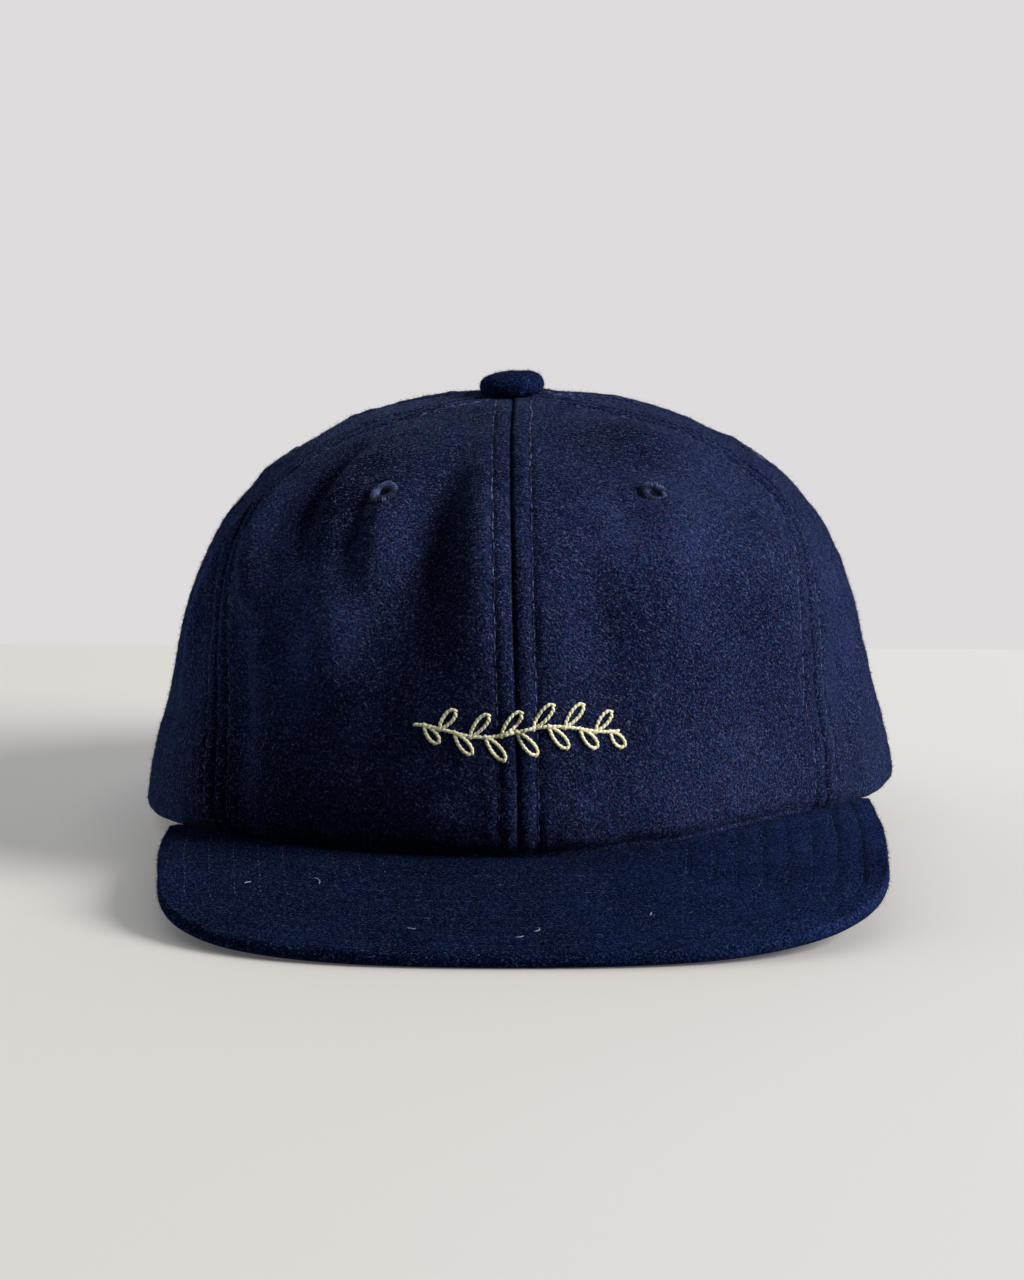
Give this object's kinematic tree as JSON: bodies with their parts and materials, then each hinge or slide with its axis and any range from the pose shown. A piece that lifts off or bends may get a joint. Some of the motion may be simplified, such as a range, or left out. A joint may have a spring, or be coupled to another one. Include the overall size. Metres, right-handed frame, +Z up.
{
  "type": "wool cap",
  "caption": "Soft wool cap with a panelled round crown, a short flat brim, sewn eyelets and a cloth covered top button.",
  "frame": {"origin": "middle of the cap's footprint, on the surface it rests on", "axes": "+Z up, the front of the cap and its brim towards -Y, +X to the right as seen from the front"},
  "size_m": [0.1924, 0.262, 0.1167],
  "materials": {
    "wool_cloth": "matt navy melton wool with a short nap",
    "brim_cloth": "matt navy melton wool, stitched in rows",
    "eyelet_thread": "twisted navy thread with a low sheen",
    "seam_thread": "twisted navy sewing thread",
    "motif_thread": "pale yellow embroidery thread"
  },
  "bodies": {
    "root": {"front_panel_left": "wool_cloth", "front_panel_right": "wool_cloth", "side_panel_left": "wool_cloth", "side_panel_right": "wool_cloth", "back_panel_left": "wool_cloth", "back_panel_right": "wool_cloth", "brim": "brim_cloth", "top_button": "wool_cloth", "front_eyelet_left": "eyelet_thread", "front_eyelet_right": "eyelet_thread", "side_eyelet_left": "eyelet_thread", "side_eyelet_right": "eyelet_thread", "back_eyelet_left": "eyelet_thread", "back_eyelet_right": "eyelet_thread"}
  },
  "joints": []
}
